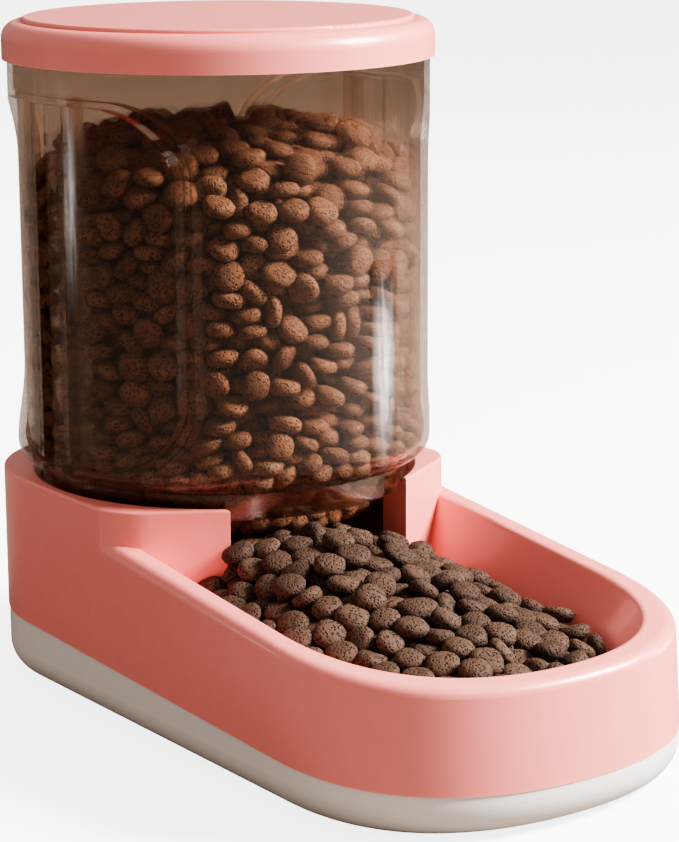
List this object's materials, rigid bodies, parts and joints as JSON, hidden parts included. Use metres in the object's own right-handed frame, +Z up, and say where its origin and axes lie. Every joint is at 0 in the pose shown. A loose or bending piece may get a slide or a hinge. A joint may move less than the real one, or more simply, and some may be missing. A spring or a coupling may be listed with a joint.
{
  "type": "gravity pet feeder",
  "caption": "Gravity feeder for dry pet food: a lidded clear barrel hopper stands in the collar of a long round-fronted bowl, closed below by a shallow tray.",
  "frame": {"origin": "centre of the feeder's bounding box on the surface it stands on", "axes": "+Z up, the bowl's front points along -Y, symmetric about the plane X = 0"},
  "size_m": [0.1842, 0.3386, 0.289],
  "materials": {
    "pink_shell": "satin moulded ABS with a faint grain",
    "white_tray": "satin moulded ABS",
    "clear_amber": "clear smoky amber plastic, polished",
    "ramp_plastic": "satin moulded ABS",
    "lid_pink": "satin moulded ABS with a faint grain",
    "seal_silicone": "translucent white silicone",
    "foot_rubber": "matt black rubber",
    "screw_steel": "zinc-plated steel"
  },
  "bodies": {
    "base": {"bowl_shell": "pink_shell", "feed_ramp": "ramp_plastic", "base_tray": "white_tray", "base_screws": "screw_steel", "ramp_screws": "screw_steel", "foot_front_left": "foot_rubber", "foot_front_right": "foot_rubber", "foot_rear_left": "foot_rubber", "foot_rear_right": "foot_rubber"},
    "hopper": {"hopper_barrel": "clear_amber", "hopper_outlet": "clear_amber"},
    "lid": {"lid_shell": "lid_pink", "lid_disc": "lid_pink", "lid_seal": "seal_silicone"}
  },
  "joints": [
    {"name": "hopper_lift", "type": "slide", "parent": "base", "child": "hopper", "axis": [0, 0, 1], "range_m": [0, 0.12]},
    {"name": "lid_lift", "type": "slide", "parent": "hopper", "child": "lid", "axis": [0, 0, 1], "range_m": [0, 0.08]}
  ]
}
